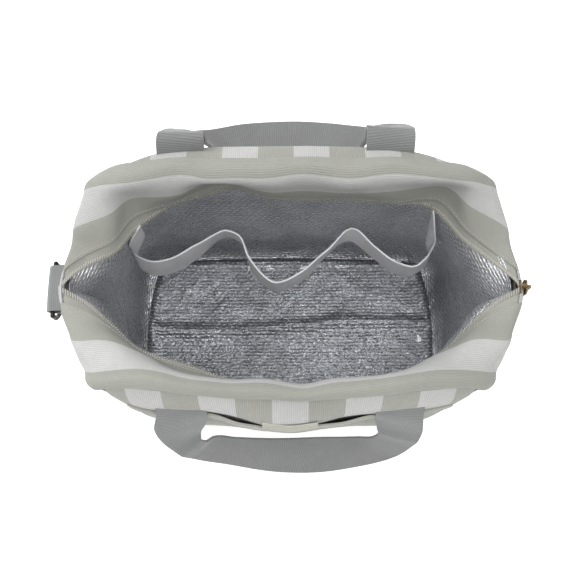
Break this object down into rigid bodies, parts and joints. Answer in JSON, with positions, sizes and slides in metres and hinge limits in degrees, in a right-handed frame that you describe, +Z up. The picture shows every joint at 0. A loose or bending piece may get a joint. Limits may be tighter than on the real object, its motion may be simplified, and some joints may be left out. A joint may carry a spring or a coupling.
{
  "type": "insulated cooler bag",
  "caption": "Small striped canvas cooler bag standing open, foil lined, with zip flaps folded in, webbing handles, side rings and a front pocket.",
  "frame": {"origin": "centre of the bag's base, on the surface it stands on", "axes": "+X along the length of the bag, -Y towards the side with the pocket and label, +Z up"},
  "size_m": [0.3117, 0.2417, 0.198],
  "materials": {
    "striped_canvas": "heavy woven canvas with sage grey and white stripes",
    "hem_canvas": "folded and topstitched canvas",
    "foam": "closed cell foam",
    "foil_liner": "embossed aluminised film, crinkled",
    "grey_webbing": "ribbed cotton webbing",
    "zip_tape": "woven zip tape",
    "zip_coil": "nylon coil",
    "antique_brass": "antique",
    "dark_steel": "dark lacquered wire",
    "white_elastic": "woven elastic",
    "label_cotton": "plain cotton, blank"
  },
  "bodies": {
    "bag": {"front_panel": "striped_canvas", "back_panel": "striped_canvas", "side_left": "striped_canvas", "side_right": "striped_canvas", "base_panel": "striped_canvas", "front_pocket": "striped_canvas", "shoulder_front_left": "striped_canvas", "shoulder_front_right": "striped_canvas", "shoulder_back_left": "striped_canvas", "shoulder_back_right": "striped_canvas", "pocket_hem": "hem_canvas", "foam_front": "foam", "foam_back": "foam", "foam_left": "foam", "foam_right": "foam", "foam_base": "foam", "liner_front": "foil_liner", "liner_back": "foil_liner", "liner_left": "foil_liner", "liner_right": "foil_liner", "liner_base": "foil_liner", "handle_front_end_left": "grey_webbing", "handle_front_end_right": "grey_webbing", "handle_back_end_left": "grey_webbing", "handle_back_end_right": "grey_webbing", "tab_left": "grey_webbing", "tab_right": "grey_webbing", "zip_end_left": "zip_tape", "zip_end_right": "zip_tape", "zip_stop": "zip_tape", "elastic_band": "white_elastic", "label": "label_cotton"},
    "flap_front": {"top_flap_front": "striped_canvas", "zip_tape_front": "zip_tape", "zip_coil_front": "zip_coil"},
    "flap_back": {"top_flap_back": "striped_canvas", "zip_tape_back": "zip_tape", "zip_coil_back": "zip_coil"},
    "handle_front_loop": {"handle_front": "grey_webbing"},
    "handle_back_loop": {"handle_back": "grey_webbing"},
    "ring_left": {"d_ring_left": "dark_steel"},
    "ring_right": {"d_ring_right": "dark_steel"},
    "slider": {"zip_slider": "antique_brass"},
    "pull": {"zip_pull": "antique_brass"}
  },
  "joints": [
    {"name": "flap_front_fold", "type": "hinge", "parent": "bag", "child": "flap_front", "pos_m": [0, -0.068, 0.1768], "axis": [1, 0, 0], "range_deg": [0, 86]},
    {"name": "flap_back_fold", "type": "hinge", "parent": "bag", "child": "flap_back", "pos_m": [0, 0.066, 0.1968], "axis": [-1, 0, 0], "range_deg": [0, 70]},
    {"name": "handle_front_lift", "type": "hinge", "parent": "bag", "child": "handle_front_loop", "pos_m": [0, -0.08573, 0.155], "axis": [-1, 0, 0], "range_deg": [0, 150]},
    {"name": "handle_back_lift", "type": "hinge", "parent": "bag", "child": "handle_back_loop", "pos_m": [0, 0.08247, 0.175], "axis": [1, 0, 0], "range_deg": [0, 135]},
    {"name": "ring_left_swing", "type": "hinge", "parent": "bag", "child": "ring_left", "pos_m": [-0.1535, 0, 0.152], "axis": [0, 1, 0], "range_deg": [-12, 95]},
    {"name": "ring_right_swing", "type": "hinge", "parent": "bag", "child": "ring_right", "pos_m": [0.1478, 0, 0.112], "axis": [0, -1, 0], "range_deg": [-12, 95]},
    {"name": "slider_travel", "type": "slide", "parent": "bag", "child": "slider", "axis": [0, 0, 1], "range_m": [0, 0.008]},
    {"name": "pull_swing", "type": "hinge", "parent": "slider", "child": "pull", "pos_m": [0.1528, 0, 0.155], "axis": [0, -1, 0], "range_deg": [0, 120]}
  ]
}
